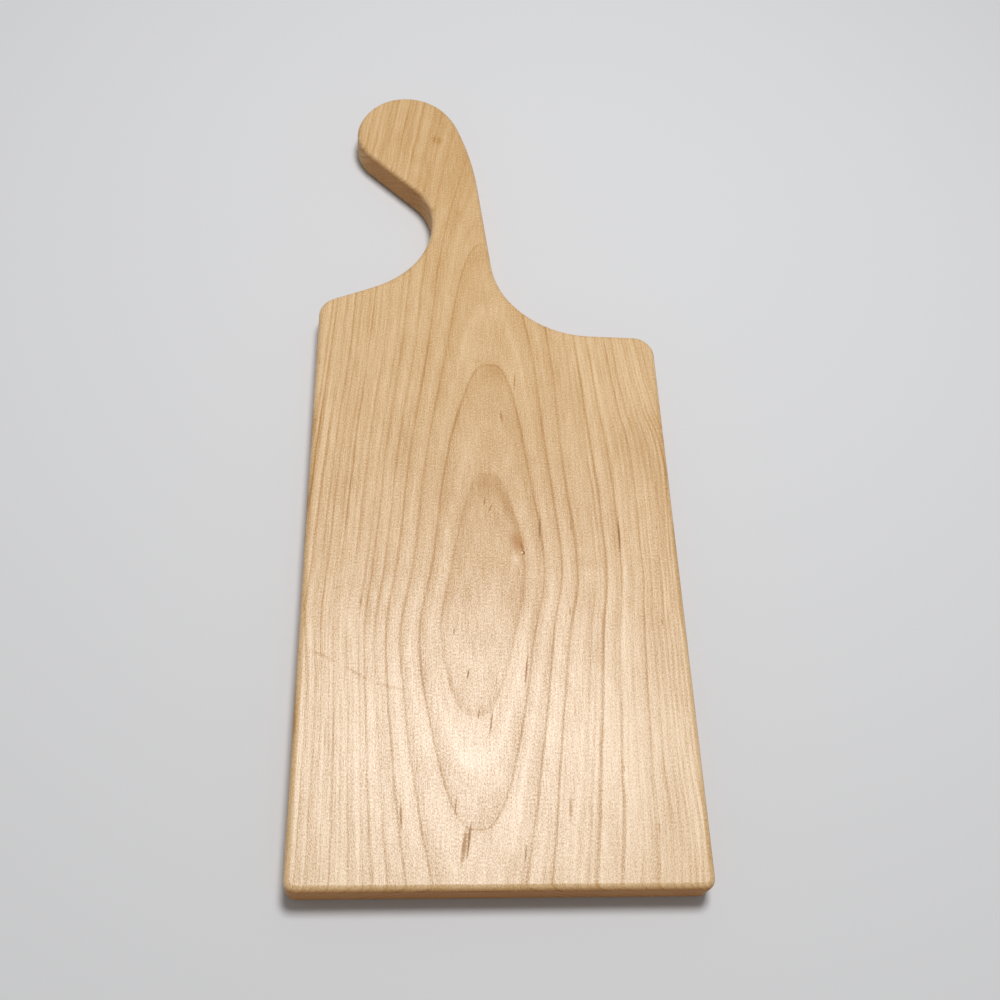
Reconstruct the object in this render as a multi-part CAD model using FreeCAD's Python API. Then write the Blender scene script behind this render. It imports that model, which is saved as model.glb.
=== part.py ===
import FreeCAD, Part
import math
import os

# A handled cutting board sawn from one flat-sawn plank of hard maple. The blade is a rectangle, and
# the handle rises from it off to one side and curls over into a hook with an open gap for the fingers.
# A single pin knot, the wood of a small twig, runs through the thickness.
#
# Units are millimetres and degrees. The part stands on its underside: +Z is up through the thickness,
# +Y runs along the grain from the blade's square end to the tip of the handle, and +X is to the right
# with the cutting face up and the handle pointing away. The origin is the centre of the underside's box.

# --- stock -------------------------------------------------------------------------------------------
BLADE_WIDTH = 203.2        # a plank planed to 8 inches
THICKNESS = 19.05          # dressed to 3/4 inch
EDGE_ROUND = 3.2           # every long edge is eased with a 1/8 inch round-over and sanded

# --- outline, walked anticlockwise from the blade's lower left corner ----------------------------------
END_CORNER_RADIUS = 5.5    # the two corners of the square end
SHOULDER_HEIGHT = 327.6    # from the square end to the flat right shoulder
SHOULDER_CORNER_RADIUS = 12.5
SHOULDER_FLAT = 27.0       # straight run along the right shoulder
SHOULDER_COVE_RADIUS = 59.0
SHOULDER_COVE_TURN = 83.6
NECK_STRAIGHT = 68.0       # nearly straight back of the handle

# The handle's head: each bend is (radius, turn), and each starts where the one before it ends.
HEAD_BENDS = (
    (223.0, 14.1),         # back of the handle, leaning in
    (50.0, 20.6),          # back of the head
    (31.5, 94.6),          # crown
    (41.0, 32.7),          # front of the head
    (30.2, 57.4),          # tip of the hook
)
HOOK_UNDERSIDE = 41.5      # straight run under the hook, sloping back to the neck

# The finger gap, one long hollow curve that opens out towards the left shoulder.
FINGER_GAP_BENDS = (
    (36.0, 43.9),          # where the forefinger sits
    (59.3, 58.9),          # throat
    (83.0, 9.1),           # run out onto the left shoulder
)
LEFT_CORNER_RADIUS = 13.2

# --- pin knot ------------------------------------------------------------------------------------------
KNOT_FROM_LEFT = 117.0     # centre of the knot on the cutting face, from the blade's left edge
KNOT_FROM_END = 176.7      # and from its square end
KNOT_FACE_RADIUS = 1.15    # on the cutting face, which was nearer the bark
KNOT_TAPER = 0.028         # radius lost per millimetre towards the pith, below the board
KNOT_LEAN = (-0.25, 0.20)  # sideways run per millimetre of depth, back towards the pith
KNOT_OVERRUN = 3.0         # the cone runs this far past both faces before it is trimmed flush


def direction(angle):
    """Unit vector at an angle from +X, in the plane of the board."""
    return FreeCAD.Vector(math.cos(math.radians(angle)), math.sin(math.radians(angle)), 0)


class OutlineWalk:
    """A closed outline made of straight runs and arcs, each tangent to the one before it."""

    def __init__(self, start, heading):
        self.here = start
        self.heading = heading
        self.edges = []

    def straight(self, length):
        end = self.here + direction(self.heading) * length
        self.edges.append(Part.makeLine(self.here, end))
        self.here = end

    def bend(self, radius, turn):
        """Arc of the given radius. A positive turn is to the left, round the outside of the wood."""
        side = math.copysign(radius, turn)
        centre = self.here + direction(self.heading + 90) * side
        middle = centre + direction(self.heading + turn / 2 - 90) * side
        end = centre + direction(self.heading + turn - 90) * side
        self.edges.append(Part.Arc(self.here, middle, end).toShape())
        self.here = end
        self.heading += turn


def board_outline():
    """The board's outline in plan, with the blade's lower left corner at the origin."""
    walk = OutlineWalk(FreeCAD.Vector(END_CORNER_RADIUS, 0, 0), 0)

    # square end and right side of the blade
    walk.straight(BLADE_WIDTH - 2 * END_CORNER_RADIUS)
    walk.bend(END_CORNER_RADIUS, 90)
    walk.straight(SHOULDER_HEIGHT - SHOULDER_CORNER_RADIUS - END_CORNER_RADIUS)

    # right shoulder, its cove and the back of the handle
    walk.bend(SHOULDER_CORNER_RADIUS, 90)
    walk.straight(SHOULDER_FLAT)
    walk.bend(SHOULDER_COVE_RADIUS, -SHOULDER_COVE_TURN)
    walk.straight(NECK_STRAIGHT)

    # head, underside of the hook and finger gap
    for radius, turn in HEAD_BENDS:
        walk.bend(radius, turn)
    walk.straight(HOOK_UNDERSIDE)
    for radius, turn in FINGER_GAP_BENDS:
        walk.bend(radius, -turn)

    # left shoulder: the run is as long as it takes for its corner to meet the left side
    corner_reach = LEFT_CORNER_RADIUS * (1 - direction(walk.heading + 90).x)
    walk.straight((corner_reach - walk.here.x) / direction(walk.heading).x)
    walk.bend(LEFT_CORNER_RADIUS, 270 - walk.heading)

    # left side, back to the start
    walk.straight(walk.here.y - END_CORNER_RADIUS)
    walk.bend(END_CORNER_RADIUS, 90)
    return Part.Wire(walk.edges)


def rounded_blank(outline):
    """The plank cut to the outline, with the long edges of both faces rounded over."""
    blank = Part.Face(outline).extrude(FreeCAD.Vector(0, 0, THICKNESS))
    face_levels = (0, THICKNESS)
    face_edges = []
    for edge in blank.Edges:
        box = edge.BoundBox
        lies_flat = box.ZLength < 0.001
        if lies_flat and any(abs(box.Center.z - level) < 0.001 for level in face_levels):
            face_edges.append(edge)
    return blank.makeFillet(EDGE_ROUND, face_edges)


def knot_cone():
    """The twig's leaning cone, long enough to pass through both faces."""
    lean_x, lean_y = KNOT_LEAN
    down = FreeCAD.Vector(lean_x, lean_y, -1)
    face_centre = FreeCAD.Vector(KNOT_FROM_LEFT, KNOT_FROM_END, THICKNESS)
    start = face_centre - down * KNOT_OVERRUN
    depth = THICKNESS + 2 * KNOT_OVERRUN
    start_radius = KNOT_FACE_RADIUS + KNOT_TAPER * KNOT_OVERRUN
    end_radius = start_radius - KNOT_TAPER * depth
    return Part.makeCone(start_radius, end_radius, depth * down.Length, start, down)


def centre_on_origin(shape, outline):
    """Move a shape so that the outline's box is centred on the origin."""
    box = outline.optimalBoundingBox()
    shape.translate(FreeCAD.Vector(-box.Center.x, -box.Center.y, 0))
    return shape


def save(shape, node):
    shape.exportStep("parts/" + node + ".step")
    box = shape.optimalBoundingBox()
    size = "{:.2f} x {:.2f} x {:.2f} mm".format(box.XLength, box.YLength, box.ZLength)
    print(node, size, "volume {:.0f} mm3".format(shape.Volume), "valid", shape.isValid())


os.makedirs("parts", exist_ok=True)

outline = board_outline()
blank = rounded_blank(outline)
cone = knot_cone()

maple_plank = blank.cut(cone)
pin_knot = blank.common(cone)

save(centre_on_origin(maple_plank, outline), "maple_plank")
save(centre_on_origin(pin_knot, outline), "pin_knot")
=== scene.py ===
# %% [markdown]
# # A hooked-handle cutting board in flat-sawn maple
# The board is one plank of hard maple with a pin knot in it. Its outline, its thickness and its eased
# edges come from CAD and are fixed; this lesson gives them their looks. Almost everything that makes
# maple look like maple is its grain, so most of the work is one solid wood pattern that is right on the
# face, on the long edges and on the end grain at once.

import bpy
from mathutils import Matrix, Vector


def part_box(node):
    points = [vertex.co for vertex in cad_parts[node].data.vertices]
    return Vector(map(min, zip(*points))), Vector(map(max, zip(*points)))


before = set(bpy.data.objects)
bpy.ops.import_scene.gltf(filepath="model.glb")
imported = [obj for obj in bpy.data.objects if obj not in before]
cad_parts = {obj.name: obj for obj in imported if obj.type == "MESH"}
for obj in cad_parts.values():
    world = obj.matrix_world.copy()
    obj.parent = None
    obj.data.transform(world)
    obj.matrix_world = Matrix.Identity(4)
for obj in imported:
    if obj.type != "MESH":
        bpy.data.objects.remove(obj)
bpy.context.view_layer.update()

# %% [markdown]
# ## Tools
# The pattern is laid out in millimetres from the blade's lower left corner on the cutting face, the way
# a maker would lay a rule on the board, so the plank's own corner is measured first.

# %% Sizes
import math

import bpy
from mathutils import Quaternion, Vector

MM = 0.001
board_low, board_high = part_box("maple_plank")
LEFT = board_low[0] / MM
END = board_low[1] / MM
FACE = board_high[2] / MM
LENGTH = (board_high[1] - board_low[1]) / MM
HALF_THICKNESS = (board_high[2] - board_low[2]) / MM / 2
print("plank in mm:", [round((high - low) / MM, 2) for low, high in zip(board_low, board_high)])


# %% The colour helper
def linear(hex_colour):
    """An sRGB hex colour as the linear numbers that shaders work in."""
    channels = [int(hex_colour[i:i + 2], 16) / 255 for i in (0, 2, 4)]
    return [c / 12.92 if c <= 0.04045 else ((c + 0.055) / 1.055) ** 2.4 for c in channels] + [1.0]


# %% The node helpers
def connect(tree, node, inputs):
    """Sets a node's inputs. Each is a number, a socket, or another node for its first output."""
    for key, value in inputs.items():
        if isinstance(value, bpy.types.Node):
            value = next(output for output in value.outputs if output.enabled)
        if isinstance(value, bpy.types.NodeSocket):
            tree.links.new(value, node.inputs[key])
        else:
            node.inputs[key].default_value = value


def add(tree, kind, inputs=None, **settings):
    """Adds a node with its settings and its inputs."""
    made = tree.nodes.new(kind)
    for name, value in settings.items():
        setattr(made, name, value)
    connect(tree, made, inputs or {})
    return made


def new_material(name):
    """An empty material with only a Principled shader, with its node tree and the shader."""
    material = bpy.data.materials.new(name)
    material.use_nodes = True
    tree = material.node_tree
    tree.nodes.clear()
    shader = add(tree, "ShaderNodeBsdfPrincipled")
    add(tree, "ShaderNodeOutputMaterial", {"Surface": shader})
    return material, tree, shader


def finish_piece(node, material):
    """Puts a material on a CAD piece, in place of the plain one it came with."""
    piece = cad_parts[node]
    piece.data.materials.clear()
    piece.data.materials.append(material)
    print(node, "is finished in", material.name)


def place_in_mm(tree):
    """The place of each point in mm from the blade's lower left corner on the cutting face."""
    object_place = add(tree, "ShaderNodeTexCoord").outputs["Object"]
    in_mm = add(tree, "ShaderNodeVectorMath", {0: object_place, 1: (1 / MM,) * 3}, operation="MULTIPLY")
    return add(tree, "ShaderNodeVectorMath", {0: in_mm, 1: (LEFT, END, FACE)}, operation="SUBTRACT")


# %% [markdown]
# ## Camera
# The board lies flat and is seen from behind its square end and well above it, with the camera tipped
# a little to one side. The colours are shown with the plain sRGB view, so that a hex colour under full
# light is the colour that is seen.

# %% Camera
EYE = Vector((-59.3, -373.2, 569.3)) * MM
AIM = Vector((4.03, -54.3, 19.05)) * MM
SENSOR_MM = 36
LENS_MM = 41.53
CAMERA_TIP = math.radians(-11.15)

camera_data = bpy.data.cameras.new("camera")
camera_data.sensor_width = SENSOR_MM
camera_data.lens = LENS_MM
camera = bpy.data.objects.new("camera", camera_data)
bpy.context.collection.objects.link(camera)
forward = (AIM - EYE).normalized()
camera.rotation_mode = "QUATERNION"
camera.rotation_quaternion = Quaternion(forward, CAMERA_TIP) @ forward.to_track_quat("-Z", "Y")
camera.location = EYE
bpy.context.scene.camera = camera
bpy.context.scene.view_settings.view_transform = "Standard"
print("camera to board in mm:", round((AIM - EYE).length / MM))

# %% [markdown]
# ## Floor and light
# A satin board shows its finish by one broad soft reflection. The softbox hangs almost overhead, where
# the lower half of the face mirrors it to the camera, and the room gives a weak even fill.

# %% Floor
FLOOR_SIZE = 8
FLOOR_COLOUR = "d6d4d1"
FLOOR_ROUGHNESS = 0.85

bpy.ops.object.select_all(action="DESELECT")
bpy.ops.mesh.primitive_plane_add(size=FLOOR_SIZE, location=(0, 0, 0))
floor = bpy.context.object
floor.name = "floor"
floor_paint, tree, shader = new_material("pale_floor")
connect(tree, shader, {"Base Color": linear(FLOOR_COLOUR), "Roughness": FLOOR_ROUGHNESS})
floor.data.materials.append(floor_paint)
print("floor:", FLOOR_SIZE, "m square")

# %% Room and softbox
ROOM_COLOUR = "f1f2f4"
ROOM_STRENGTH = 0.28
SOFTBOX_PLACE = Vector((0.10, 0.265, 1.47))
SOFTBOX_SIDE = 0.42
SOFTBOX_WATTS = 19.2
SOFTBOX_COLOUR = "f6f9ff"

room = bpy.data.worlds.new("room")
bpy.context.scene.world = room
room.use_nodes = True
connect(room.node_tree, room.node_tree.nodes["Background"],
        {"Color": linear(ROOM_COLOUR), "Strength": ROOM_STRENGTH})

softbox_data = bpy.data.lights.new("softbox", "AREA")
softbox_data.shape = "SQUARE"
softbox_data.size = SOFTBOX_SIDE
softbox_data.energy = SOFTBOX_WATTS
softbox_data.color = linear(SOFTBOX_COLOUR)[:3]
softbox = bpy.data.objects.new("softbox", softbox_data)
bpy.context.collection.objects.link(softbox)
softbox.location = SOFTBOX_PLACE
softbox.rotation_euler = (-SOFTBOX_PLACE).to_track_quat("-Z", "Y").to_euler()
print("softbox:", SOFTBOX_SIDE, "m square,", SOFTBOX_WATTS, "W")

# %% [markdown]
# ## The tree inside the plank
# A plank is a slice through nested cones of growth rings. This one is flat-sawn: the pith ran below
# the underside, about the middle of the width, and dipped away towards both ends, so the rings reach
# the face as closed ovals round the middle of the blade and as long lines at its sides. So the
# pattern's first number is the distance of each point from the pith.

# %% Where the pith ran
# Each list holds (mm from the square end, value).
PITH_ACROSS = [(0, 90.5), (60, 90.4), (120, 91.2), (175, 98.6), (240, 99.0), (310, 101.9), (390, 101.5),
               (440, 103.5), (527, 109)]
# Beyond these distances from the pith line the trunk is out of round by the shares below.
RIGHT_SWELL_FROM = 45
RIGHT_SWELL = [(0, -0.38), (30, -0.37), (60, -0.325), (120, -0.265), (175, -0.17), (240, -0.22),
               (275, -0.12), (310, -0.02), (390, 0.09), (527, 0.06)]
LEFT_SWELL_FROM = 35
LEFT_SWELL = [(0, -0.06), (60, 0.03), (100, 0.065), (120, 0.04), (175, -0.075), (240, -0.06), (310, -0.07),
              (390, -0.035), (527, 0.035)]
# The pith was 60 mm under the face at its highest, and fell away from there on a long bend.
PITH_DEPTH = 60
PITH_HIGH_POINT = 147.2
PITH_BEND = 31.2
FALL_TO_END = 9.9
FALL_TO_HANDLE = 7.2
FALL_BLEND = 8.0
# Slow wander of the rings, so that no line is drawn with a ruler.
WANDER_MM = 1.6
WANDER_SIZE = (14, 38, 14)

maple, tree, shader = new_material("oiled_hard_maple")
MATH = "ShaderNodeMath"


def follow(tree, along, points, low, high):
    """A smooth value that changes along the board, from (mm, value) points between low and high."""
    curve = add(tree, "ShaderNodeFloatCurve", {"Value": along})
    line = curve.mapping.curves[0]
    while len(line.points) < len(points):
        line.points.new(0.5, 0.5)
    for point, (place, value) in zip(line.points, points):
        point.location = (place / LENGTH, (value - low) / (high - low))
    curve.mapping.update()
    return add(tree, MATH, {0: curve, 1: high - low, 2: low}, operation="MULTIPLY_ADD")


def stretched_noise(tree, place, size, detail, roughness=0.5):
    """Noise from 0 to 1 whose features are about size mm along each axis."""
    scaled = add(tree, "ShaderNodeMapping", {"Vector": place, "Scale": [1 / s for s in size]})
    noise = add(tree, "ShaderNodeTexNoise",
                {"Vector": scaled, "Scale": 1.0, "Detail": detail, "Roughness": roughness})
    return noise.outputs["Fac"]


on_board = place_in_mm(tree)
across, up, above_face = add(tree, "ShaderNodeSeparateXYZ", {0: on_board}).outputs
along = add(tree, MATH, {0: up, 1: LENGTH}, operation="DIVIDE")
wander = stretched_noise(tree, on_board, WANDER_SIZE, 2.0)
wandering = add(tree, MATH, {0: wander, 1: WANDER_MM, 2: across}, operation="MULTIPLY_ADD")
print("the pith wanders across the board from", PITH_ACROSS[0][1], "to", PITH_ACROSS[-1][1], "mm")

# %% Distance across from the pith, trued for the out-of-round trunk
pith_across = follow(tree, along, PITH_ACROSS, 85, 125)
offset = add(tree, MATH, {0: wandering, 1: pith_across}, operation="SUBTRACT")
offset = add(tree, MATH, {0: offset, 1: WANDER_MM / 2}, operation="SUBTRACT")
past_right = add(tree, MATH, {0: offset, 1: RIGHT_SWELL_FROM}, operation="SUBTRACT")
past_right = add(tree, MATH, {0: past_right, 1: 0.0}, operation="MAXIMUM")
past_left = add(tree, MATH, {0: offset, 1: -1.0, 2: -LEFT_SWELL_FROM}, operation="MULTIPLY_ADD")
past_left = add(tree, MATH, {0: past_left, 1: 0.0}, operation="MAXIMUM")
right_swell = follow(tree, along, RIGHT_SWELL, -0.7, 0.3)
left_swell = follow(tree, along, LEFT_SWELL, -0.2, 0.3)
trued = add(tree, MATH, {0: past_right, 1: right_swell, 2: offset}, operation="MULTIPLY_ADD")
swollen = add(tree, MATH, {0: past_left, 1: left_swell}, operation="MULTIPLY")
trued = add(tree, MATH, {0: trued, 1: swollen}, operation="SUBTRACT")

# %% Height above the pith
from_high = add(tree, MATH, {0: up, 1: PITH_HIGH_POINT}, operation="SUBTRACT")
bend = add(tree, MATH, {0: from_high, 1: from_high, 2: PITH_BEND ** 2}, operation="MULTIPLY_ADD")
bend = add(tree, MATH, {0: bend}, operation="SQRT")
bend = add(tree, MATH, {0: bend, 1: PITH_BEND}, operation="SUBTRACT")
fall = add(tree, "ShaderNodeMapRange", {"Value": from_high, "From Min": -FALL_BLEND, "From Max": FALL_BLEND,
                                        "To Min": FALL_TO_END, "To Max": FALL_TO_HANDLE})
depth = add(tree, MATH, {0: bend, 1: fall, 2: PITH_DEPTH ** 2}, operation="MULTIPLY_ADD")
depth = add(tree, MATH, {0: depth}, operation="SQRT")
height = add(tree, MATH, {0: depth, 1: above_face}, operation="ADD")

# %% Distance from the pith
# A ring is a little flat over the pith, so that the ovals end bluntly and not in a point.
FLAT_OVER_PITH = 7.5

square = add(tree, MATH, {0: trued, 1: trued}, operation="MULTIPLY")
blunt = add(tree, MATH, {0: square, 1: FLAT_OVER_PITH ** 2}, operation="ADD")
blunt = add(tree, MATH, {0: square, 1: blunt}, operation="DIVIDE")
square = add(tree, MATH, {0: square, 1: blunt}, operation="MULTIPLY")
square = add(tree, MATH, {0: height, 1: height, 2: square}, operation="MULTIPLY_ADD")
radius = add(tree, MATH, {0: square}, operation="SQRT")

# %% Steepness and side
# How fast that distance changes along the face is needed too, so that a line over the pith, where the
# face almost grazes the ring, is as thin as it is at the sides. Below the two faces a line keeps its
# own thickness, and these are the depths between which that sets in.
LINE_THIN_AT = 0.4
LINE_OWN_AT = 2.4
# The left side's rings give way to the right side's within this distance of the pith line.
SIDE_BLEND = 6.0

steep = add(tree, MATH, {0: blunt, 1: -1.0, 2: 2.0}, operation="MULTIPLY_ADD")
steep = add(tree, MATH, {0: steep, 1: blunt}, operation="MULTIPLY")
steep = add(tree, MATH, {0: steep, 1: trued}, operation="MULTIPLY")
steep = add(tree, MATH, {0: steep, 1: steep, 2: (FALL_TO_HANDLE / 2) ** 2}, operation="MULTIPLY_ADD")
steep = add(tree, MATH, {0: steep}, operation="SQRT")
steep = add(tree, MATH, {0: steep, 1: radius}, operation="DIVIDE")
from_middle = add(tree, MATH, {0: above_face, 1: HALF_THICKNESS}, operation="ADD")
from_middle = add(tree, MATH, {0: from_middle}, operation="ABSOLUTE")
at_face = add(tree, "ShaderNodeMapRange", {"Value": from_middle, "From Min": HALF_THICKNESS - LINE_OWN_AT,
                                           "From Max": HALF_THICKNESS - LINE_THIN_AT})
steep = add(tree, "ShaderNodeMix", {"Factor": at_face, "A": 1.0, "B": steep})
side = add(tree, "ShaderNodeMapRange", {"Value": trued, "From Min": -SIDE_BLEND, "From Max": SIDE_BLEND},
           interpolation_type="SMOOTHSTEP")

# %% [markdown]
# ## Growth rings
# In maple the year's last wood is a thin brown line. The wood darkens slowly towards it and starts
# again pale just outside it, which is why a ring has one soft side and one crisp side.

# %% Ring tones
# All tones are in percent, and each ring's place is its distance from the pith in mm.
# Rings over the pith: (mm, how dark the line is, how dark the wood inside it, how pale the wood after it)
INNER_RINGS = [(39.5, 3, 2, 2), (43, 2, 2, 2), (46.8, 3, 3, 3), (50.6, 2, 3, 2), (54.4, 3, 3, 3),
               (58.8, 0.5, 1, 1), (63.1, 2, 4.5, 4.5)]
OUTER_RINGS = [(67.15, 5, 3.5, 4), (72, 5, 3, 4), (76.6, 6, 3, 1.5)]
# Rings at the sides: (mm, how dark the line is, how pale the wood after it)
LEFT_RINGS = [(80.4, 4, 2.5), (84.4, 5, 0.5), (86.4, 3, 1.5), (90.7, 4.5, 2.5), (93.6, 1, 2),
              (96.1, 5.5, 1.5), (98.0, 2, 2), (99.4, 1, 3), (101.4, 3, 1), (103.9, 5, 3.5),
              (107.6, 4.5, 5), (111.7, 9, 4), (113.6, 4, 5), (116.6, 4, 3), (119.5, 3, 2), (122, 4, 2)]
RIGHT_RINGS = [(82.0, 1.5, 1), (83.8, 2, 1), (85.5, 7, 3), (90.3, 5, 5), (94, 0.5, 1.5), (97.8, 5.5, 1.5),
               (100.8, 3.5, 2), (102.8, 2, 2), (104.6, 3, 2), (106.2, 1.5, 3), (107.6, 2.5, 3),
               (109.2, 3, 3), (112, 4, 2), (115, 3, 2)]
DARKEST = -16.0
PALEST = 10.0


def tone_curve(tree, radius, shape):
    """The tone in percent against the distance from the pith, from a list of (mm, tone) points."""
    start, end = shape[0][0], shape[-1][0]
    scaled = add(tree, "ShaderNodeMapRange", {"Value": radius, "From Min": start, "From Max": end})
    curve = add(tree, "ShaderNodeFloatCurve", {"Value": scaled})
    line = curve.mapping.curves[0]
    while len(line.points) < len(shape):
        line.points.new(0.5, 0.5)
    for point, (place, tone) in zip(line.points, shape):
        point.location = ((place - start) / (end - start), (tone - DARKEST) / (PALEST - DARKEST))
        point.handle_type = "VECTOR"
    curve.mapping.update()
    return add(tree, MATH, {0: curve, 1: PALEST - DARKEST, 2: DARKEST}, operation="MULTIPLY_ADD")


# %% Rings at the sides
LONGEST_LEAD = 2.4      # mm over which the wood darkens towards a line, at most
PALE_BY = 1.2           # mm after a line where the wood is palest, at most
LINE_INSIDE = 0.2       # the line's own half-widths in mm, and where its shading starts and ends
LINE_OUTSIDE = 0.15
SHADE_INSIDE = 0.55
SHADE_OUTSIDE = 0.45
LINE_GAIN = 1.5         # a thin line is drawn deeper than its tone, since the curve rounds it off


def side_rings(rings, start, end):
    """The shape of the rings at the sides, where the face cuts them steeply: line and band together."""
    shape = [(start, 0.0)]
    pale_before = 1.0
    previous = start
    for ring, dark, pale in rings:
        lead = min(LONGEST_LEAD, (ring - previous) * 0.5)
        shape += [(ring - lead, pale_before * 0.6), (ring - SHADE_INSIDE, -dark * 0.3),
                  (ring - LINE_INSIDE, -dark * LINE_GAIN), (ring + LINE_OUTSIDE, -dark * LINE_GAIN),
                  (ring + SHADE_OUTSIDE, pale * 0.5), (ring + min(PALE_BY, lead), pale)]
        pale_before = pale
        previous = ring
    return shape + [(end, 0.0)]


left_tone = tone_curve(tree, radius, side_rings(LEFT_RINGS, 78, 124))
right_tone = tone_curve(tree, radius, side_rings(RIGHT_RINGS, 78, 117))
tone = add(tree, "ShaderNodeMix", {"Factor": side, "A": left_tone, "B": right_tone})
print("rings at the sides:", len(LEFT_RINGS), "left and", len(RIGHT_RINGS), "right")

# %% Bands over the pith
# (share of the way to the next line, share of the full paleness) as the wood goes pale and back
PALE_SWELL = [(0.25, 0.4), (0.43, 1.0), (0.54, 0.3)]
DARKENS_OVER = 0.22     # share of the way over which it then darkens to the line
BAND_STOPS_BEFORE = 0.1
BAND_CLEAR_AFTER = 0.12


def heart_bands(rings, start, end, pale_before):
    """The slow bands between the rings over the pith: palest halfway, then darker up to the next line."""
    shape = [(start, 0.0)]
    previous = start
    for ring, _, dark, pale in rings:
        gap = ring - previous
        shape += [(previous + way * gap, pale_before * share) for way, share in PALE_SWELL]
        shape += [(ring - DARKENS_OVER * gap, -dark * 0.3), (ring - BAND_STOPS_BEFORE, -dark),
                  (ring + BAND_CLEAR_AFTER, 0.0)]
        pale_before = pale
        previous = ring
    return shape + [(end, 0.0)]


# one curve can't hold them all finely enough, so the inner and the outer rings have one each
inner_bands = tone_curve(tree, radius, heart_bands(INNER_RINGS, 37, 63.5, 1.0))
outer_bands = tone_curve(tree, radius, heart_bands(OUTER_RINGS, 63.1, 79, 4.5))
for bands in (inner_bands, outer_bands):
    tone = add(tree, MATH, {0: tone, 1: bands}, operation="ADD")

# %% Crisp lines over the pith, drawn by their distance along the face
LINE_CORE = 0.3         # mm from the middle of a line where it starts to fade, and where it is gone
LINE_GONE = 0.95
HEART_LINE_GAIN = 1.4

for ring, dark, _, _ in INNER_RINGS + OUTER_RINGS:
    away = add(tree, MATH, {0: radius, 1: ring}, operation="SUBTRACT")
    away = add(tree, MATH, {0: away, 1: steep}, operation="DIVIDE")
    away = add(tree, MATH, {0: away}, operation="ABSOLUTE")
    line = add(tree, "ShaderNodeMapRange", {"Value": away, "From Min": LINE_GONE, "From Max": LINE_CORE,
                                            "To Max": dark * HEART_LINE_GAIN},
               interpolation_type="SMOOTHSTEP")
    tone = add(tree, MATH, {0: tone, 1: line}, operation="SUBTRACT")
print("rings over the pith:", len(INNER_RINGS + OUTER_RINGS))

# %% Strength of the lines
# Noise stays between these two levels almost everywhere.
NOISE_LOW = 0.3
NOISE_HIGH = 0.7
FAINTEST = 0.65
STRONGEST = 1.3
STRENGTH_SIZE = (9, 45, 9)
# (mm from the square end, share): all the lines are fainter in the handle's head.
FAINTER = [(0, 1), (380, 1), (440, 0.75), (527, 0.65)]

# each line fades and strengthens along its length
strength = stretched_noise(tree, on_board, STRENGTH_SIZE, 1.0)
strength = add(tree, "ShaderNodeMapRange", {"Value": strength, "From Min": NOISE_LOW,
                                            "From Max": NOISE_HIGH, "To Min": FAINTEST,
                                            "To Max": STRONGEST})
tone = add(tree, MATH, {0: tone, 1: strength}, operation="MULTIPLY")
fainter = follow(tree, along, FAINTER, 0, 1.2)
tone = add(tree, MATH, {0: tone, 1: fainter}, operation="MULTIPLY")

# %% [markdown]
# ## Between the rings
# Under the rings lie three finer things: faint lines that run with the rings where the face cuts them
# steeply, long fibres, and the ray flecks, which on a flat-sawn face are short dark dashes. Real flecks
# are about 0.1 mm wide; these are drawn some five times as wide, so that they show at all.

# %% Fine lines, fibres and flecks
# (mm from the square end, mm that the fibres have leant to the right by there)
FIBRE_LEAN = [(0, 0), (200, 0), (330, 1), (420, 5), (527, 12)]
# the fine lines are faint near the pith and full from the second distance out
FLANK_FROM = 70
FLANK_FULL = 100
FAINT_SHARE = 0.25

lean = follow(tree, along, FIBRE_LEAN, 0, 20)
with_fibre = add(tree, MATH, {0: across, 1: lean}, operation="SUBTRACT")
fibre_place = add(tree, "ShaderNodeCombineXYZ", {"X": with_fibre, "Y": up, "Z": above_face})
ring_place = add(tree, "ShaderNodeCombineXYZ", {"X": radius, "Y": up, "Z": side})


def texture_tone(tree, place, size, detail, amount):
    """Noise stretched to a size in mm, as a tone of plus or minus amount percent."""
    noise = stretched_noise(tree, place, size, detail, roughness=0.6)
    return add(tree, "ShaderNodeMapRange", {"Value": noise, "From Min": NOISE_LOW, "From Max": NOISE_HIGH,
                                            "To Min": -amount, "To Max": amount})


# each is given by its size in mm across, along and down, its detail, and its tone
fine_lines = texture_tone(tree, ring_place, (0.95, 90, 1), 3.0, 7.0)
flank = add(tree, "ShaderNodeMapRange", {"Value": radius, "From Min": FLANK_FROM, "From Max": FLANK_FULL,
                                         "To Min": FAINT_SHARE, "To Max": 1.0})
fine_lines = add(tree, MATH, {0: fine_lines, 1: flank}, operation="MULTIPLY")
fibres = texture_tone(tree, fibre_place, (0.75, 16, 0.75), 2.0, 4.5)
flecks = texture_tone(tree, fibre_place, (0.6, 1.1, 0.6), 1.5, 10.0)
clouds = texture_tone(tree, fibre_place, (16, 45, 16), 2.0, 2.6)

# %% Broad shades and painted shade along the board
# The wood over the pith is a shade darker. The middle of the blade and the handle are painted darker too:
# painted shade where less light falls on them.
HEART_SHADE = -3.0
HEART_SHADE_TO = 22.0   # mm from the pith line, full to here and gone by the next
HEART_SHADE_GONE = 62.0
# (mm from the square end, tone): painted shade, darker where the board gets less light
PAINTED_SHADE_ALONG = [(0, 0), (100, -1), (160, -5), (230, -6), (300, -3), (400, -2.5), (450, -5), (527, -6)]

spread = add(tree, MATH, {0: offset}, operation="ABSOLUTE")
heart_shade = add(tree, "ShaderNodeMapRange", {"Value": spread, "From Min": HEART_SHADE_TO,
                                               "From Max": HEART_SHADE_GONE, "To Min": HEART_SHADE,
                                               "To Max": 0.0}, interpolation_type="SMOOTHSTEP")
painted_shade_along = follow(tree, along, PAINTED_SHADE_ALONG, -12, 3)
for layer in (fine_lines, fibres, flecks, clouds, heart_shade, painted_shade_along):
    tone = add(tree, MATH, {0: tone, 1: layer}, operation="ADD")

# %% [markdown]
# ## Marks
# Maple carries mineral streaks: short dark lens-shaped lines along the fibre. There are also a few wide
# faint stains, and three faint marks across the grain left of the middle.

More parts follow.
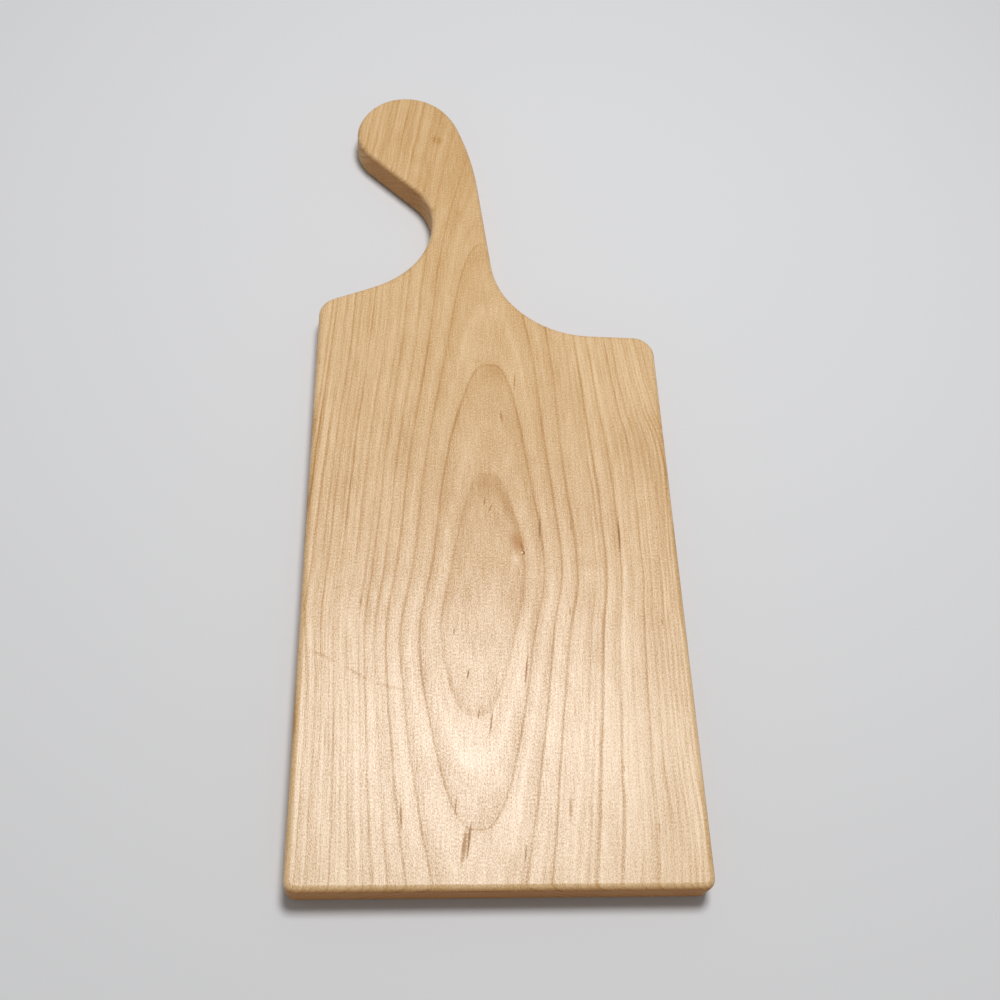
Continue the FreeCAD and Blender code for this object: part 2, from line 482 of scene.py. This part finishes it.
# %% Mineral streaks and stains
# (mm across, mm up, length, width, lean to the right in degrees, percent darker)
MARKS = [
    (171, 188, 26, 1.6, 1, 40), (127, 192, 19, 1.8, 5, 30), (144.5, 193.5, 9, 1.2, 0, 16),
    (116.4, 109, 20, 1.3, 7, 35), (97.7, 81, 19, 1.3, 8, 27), (86.5, 106.5, 8, 1.1, 12, 40),
    (91.5, 85.5, 8, 1.1, 8, 22), (79.5, 130, 5, 0.9, 8, 27), (97, 208, 7, 1.1, 10, 27),
    (100.2, 204, 8.5, 1.0, 24, 24), (116.5, 290, 17, 1.5, 4, 19), (108, 265, 11, 1.8, -4, 19),
    (53.5, 34.5, 17, 1.6, -2, 32), (79.5, 39, 11, 0.9, 6, 30), (83.4, 20.5, 22, 3.0, 8, 30),
    (85.7, 22, 22, 1.5, 9, 34), (86.0, 27, 11, 1.2, 10, 30), (112.5, 17, 11, 1.2, 6, 24),
    (135, 38, 18, 2.0, 3, 16), (163, 58, 4, 1.2, 0, 19), (178, 29, 5, 1.2, 0, 16),
    (141, 142.5, 6, 1.3, 0, 22), (190, 137, 5, 1.3, 0, 19), (192.5, 194, 4, 1.2, 0, 16),
    # stain in the handle's head, then stains at the outer oval's cap, beside the inner oval and at its cap
    (70.5, 487, 13, 10, 10, 8), (69, 488, 7, 2.2, 10, 9), (73, 486, 6, 2.2, 0, 8),
    (94, 304, 3, 6, 0, 6), (110.5, 202, 50, 8, -20, 8), (98, 219, 7, 18, 0, 2),
    # small marks by the left side, then the marks across the grain
    (18.5, 154, 1.5, 8, -10, 8), (31, 146, 6, 1.2, 0, 16),
    (12.5, 116, 22, 3, 115, 7), (29, 107, 20, 3, 122, 7), (47, 99.5, 24, 2.6, 104, 6),
    # stain right of the knot, then round the knot a pale spot, a dark spot and the thin line below it
    (153, 171, 12, 28, 0, 4),
    (112.5, 172.5, 8, 7, 0, -5), (116.8, 180.5, 6, 2.2, -15, 26), (114.3, 165, 13, 1.2, 0, 8),
]
# A mark is a lens: in shares of its half-size, dark within the first and gone by the second.
MARK_CORE = 0.2
MARK_GONE = 1.1
MARK_HALF_DEPTH = 5
MARK_BELOW_FACE = 1.5

for mark_across, mark_up, length, width, lean_degrees, darker in MARKS:
    own = add(tree, "ShaderNodeMapping",
              {"Vector": on_board, "Location": (mark_across, mark_up, -MARK_BELOW_FACE),
               "Rotation": (0, 0, -math.radians(lean_degrees)),
               "Scale": (width * 0.5, length * 0.5, MARK_HALF_DEPTH)}, vector_type="TEXTURE")
    reach = add(tree, "ShaderNodeVectorMath", {0: own}, operation="LENGTH")
    mark = add(tree, "ShaderNodeMapRange", {"Value": reach.outputs["Value"], "From Min": MARK_GONE,
                                            "From Max": MARK_CORE, "To Max": darker},
               interpolation_type="SMOOTHSTEP")
    tone = add(tree, MATH, {0: tone, 1: mark}, operation="SUBTRACT")
print("marks:", len(MARKS))

# %% Colour of the wood
# (tone in percent, colour)
WOOD_SCALE = [(-40, "96611f"), (-20, "ba8a50"), (-8, "cca36c"), (0, "dab482"), (10, "e5c291"),
              (20, "eed1a2")]

darkest_tone, palest_tone = WOOD_SCALE[0][0], WOOD_SCALE[-1][0]
scale = add(tree, "ShaderNodeMapRange", {"Value": tone, "From Min": darkest_tone, "From Max": palest_tone})
colour = add(tree, "ShaderNodeValToRGB", {"Fac": scale})
stops = colour.color_ramp.elements
while len(stops) < len(WOOD_SCALE):
    stops.new(0.5)
for stop, (tone_level, shade) in zip(stops, WOOD_SCALE):
    stop.position = (tone_level - darkest_tone) / (palest_tone - darkest_tone)
    stop.color = linear(shade)
print("colours from", WOOD_SCALE[0][1], "to", WOOD_SCALE[-1][1])

# %% [markdown]
# ## The knot's flame and the end grain
# Where the fibres turn to pass the twig they drink more oil, and the flame that leans away from the knot
# is orange-brown. End grain drinks most of all, so every face that looks along the fibres is deeper. The
# long edges are cut with the fibre and are only a little deeper than the face; their tint is also
# painted shade for the dim, wood-warmed light that the upright sides get.

# %% The knot's flame
KNOT = (117, 176.7)
FLAME_PLACE = (KNOT[0] - 2.6, KNOT[1] + 6.3, -1)
FLAME_LEAN = math.radians(20)
FLAME_HALF_SIZE = (5.2, 9.5, 5)
FLAME_CORE = 0.1
FLAME_GONE = 1.1
FLAME_DEPTH = 0.62
FLAME_COLOUR = "ae6c1c"

flame = add(tree, "ShaderNodeMapping", {"Vector": on_board, "Location": FLAME_PLACE,
                                        "Rotation": (0, 0, FLAME_LEAN), "Scale": FLAME_HALF_SIZE},
            vector_type="TEXTURE")
flame = add(tree, "ShaderNodeVectorMath", {0: flame}, operation="LENGTH")
flame = add(tree, "ShaderNodeMapRange", {"Value": flame.outputs["Value"], "From Min": FLAME_GONE,
                                         "From Max": FLAME_CORE, "To Max": FLAME_DEPTH},
            interpolation_type="SMOOTHSTEP")
colour = add(tree, "ShaderNodeMix", {"Factor": flame, "A": colour, "B": linear(FLAME_COLOUR)},
             data_type="RGBA")

# %% End grain, and long edges with painted shade
# Each pair says where the effect starts and where it is full, as the share of the surface's direction
# that lies along the fibres, or up.
END_GRAIN = "ead0ac"
END_GRAIN_FROM = 0.35
END_GRAIN_FULL = 0.95
# the long edges' tint is partly deeper side grain and partly painted shade for the dim, warm light on
# upright sides
EDGE_DEPTH_AND_SHADE = "f2e7d6"
EDGE_DEPTH_AND_SHADE_FROM = 0.8
EDGE_DEPTH_AND_SHADE_FULL = 0.3

facing = add(tree, "ShaderNodeSeparateXYZ", {0: add(tree, "ShaderNodeTexCoord").outputs["Normal"]})
facing_end = add(tree, MATH, {0: facing.outputs["Y"]}, operation="ABSOLUTE")
facing_up = add(tree, MATH, {0: facing.outputs["Z"]}, operation="ABSOLUTE")
end_grain = add(tree, "ShaderNodeMapRange", {"Value": facing_end, "From Min": END_GRAIN_FROM,
                                             "From Max": END_GRAIN_FULL, "To Max": 1.0},
                interpolation_type="SMOOTHSTEP")
edge_depth_and_shade = add(tree, "ShaderNodeMapRange", {"Value": facing_up, "From Min": EDGE_DEPTH_AND_SHADE_FROM,
                                        "From Max": EDGE_DEPTH_AND_SHADE_FULL, "To Max": 1.0},
           interpolation_type="SMOOTHSTEP")
for amount, tint in ((edge_depth_and_shade, EDGE_DEPTH_AND_SHADE), (end_grain, END_GRAIN)):
    colour = add(tree, "ShaderNodeMix", {"Factor": amount, "A": colour, "B": linear(tint)},
                 data_type="RGBA", blend_type="MULTIPLY")

# %% [markdown]
# ## Satin from oil and wax
# The rubbed finish is satin: oil and wax fill the pale open wood and raise its gloss, while the dark
# lines stay duller. End grain, the knot's flame and the upright edges soak the oil up, so they are
# rougher and carry no film. The fibres stand up a few hundredths of a millimetre and break the
# reflection up.

# %% Finish
NO_FILM_TONE = -18.0
FULL_FILM_TONE = 9.0
UPRIGHT_FROM = 0.5
UPRIGHT_FULL = 0.15
OILED_ROUGHNESS = 0.38
SOAKED_ROUGHNESS = 0.6
FILM_ROUGHNESS = 0.35
OIL_IOR = 1.5
WOOD_SHEEN = 0.4
FIBRE_HEIGHT = 0.004 * MM   # for each percent of tone

film = add(tree, "ShaderNodeMapRange", {"Value": tone, "From Min": NO_FILM_TONE, "From Max": FULL_FILM_TONE,
                                        "To Max": 1.0})
upright = add(tree, "ShaderNodeMapRange", {"Value": facing_up, "From Min": UPRIGHT_FROM,
                                           "From Max": UPRIGHT_FULL, "To Max": 1.0})
soaked = add(tree, MATH, {0: flame, 1: end_grain}, operation="MAXIMUM")
soaked = add(tree, MATH, {0: soaked, 1: upright}, operation="MAXIMUM")
sealed = add(tree, MATH, {0: 1.0, 1: soaked}, operation="SUBTRACT")
film = add(tree, MATH, {0: film, 1: sealed}, operation="MULTIPLY")
roughness = add(tree, "ShaderNodeMapRange", {"Value": soaked, "To Min": OILED_ROUGHNESS,
                                             "To Max": SOAKED_ROUGHNESS})
grain_height = add(tree, MATH, {0: fibres, 1: flecks}, operation="ADD")
bump = add(tree, "ShaderNodeBump", {"Height": grain_height, "Strength": 1.0, "Distance": FIBRE_HEIGHT})
connect(tree, shader, {"Base Color": colour, "Roughness": roughness, "IOR": OIL_IOR,
                       "Specular IOR Level": WOOD_SHEEN, "Coat Weight": film,
                       "Coat Roughness": FILM_ROUGHNESS, "Coat IOR": OIL_IOR, "Normal": bump})
finish_piece("maple_plank", maple)

# %% [markdown]
# ## The pin knot
# A pin knot is the sawn-through twig itself. Its end grain shows a pale heart and a dark crescent of
# bark on the side it leaned towards.

# %% Knot wood
KNOT_HEART = "f0c896"
KNOT_BARK = "6a3410"
HEART_OFF_CENTRE = 0.35
HEART_TO = 0.6
BARK_FROM = 1.05
KNOT_ROUGHNESS = 0.6
KNOT_SHEEN = 0.1

knot_wood, tree, shader = new_material("pin_knot_wood")
heart_place = (KNOT[0] - HEART_OFF_CENTRE, KNOT[1], 0)
from_heart = add(tree, "ShaderNodeVectorMath", {0: place_in_mm(tree), 1: heart_place}, operation="SUBTRACT")
reach = add(tree, "ShaderNodeVectorMath", {0: from_heart, 1: (1, 1, 0)}, operation="MULTIPLY")
reach = add(tree, "ShaderNodeVectorMath", {0: reach}, operation="LENGTH")
bark = add(tree, "ShaderNodeMapRange", {"Value": reach.outputs["Value"], "From Min": HEART_TO,
                                        "From Max": BARK_FROM}, interpolation_type="SMOOTHSTEP")
colour = add(tree, "ShaderNodeMix", {"Factor": bark, "A": linear(KNOT_HEART), "B": linear(KNOT_BARK)},
             data_type="RGBA")
connect(tree, shader, {"Base Color": colour, "Roughness": KNOT_ROUGHNESS, "Specular IOR Level": KNOT_SHEEN})
finish_piece("pin_knot", knot_wood)
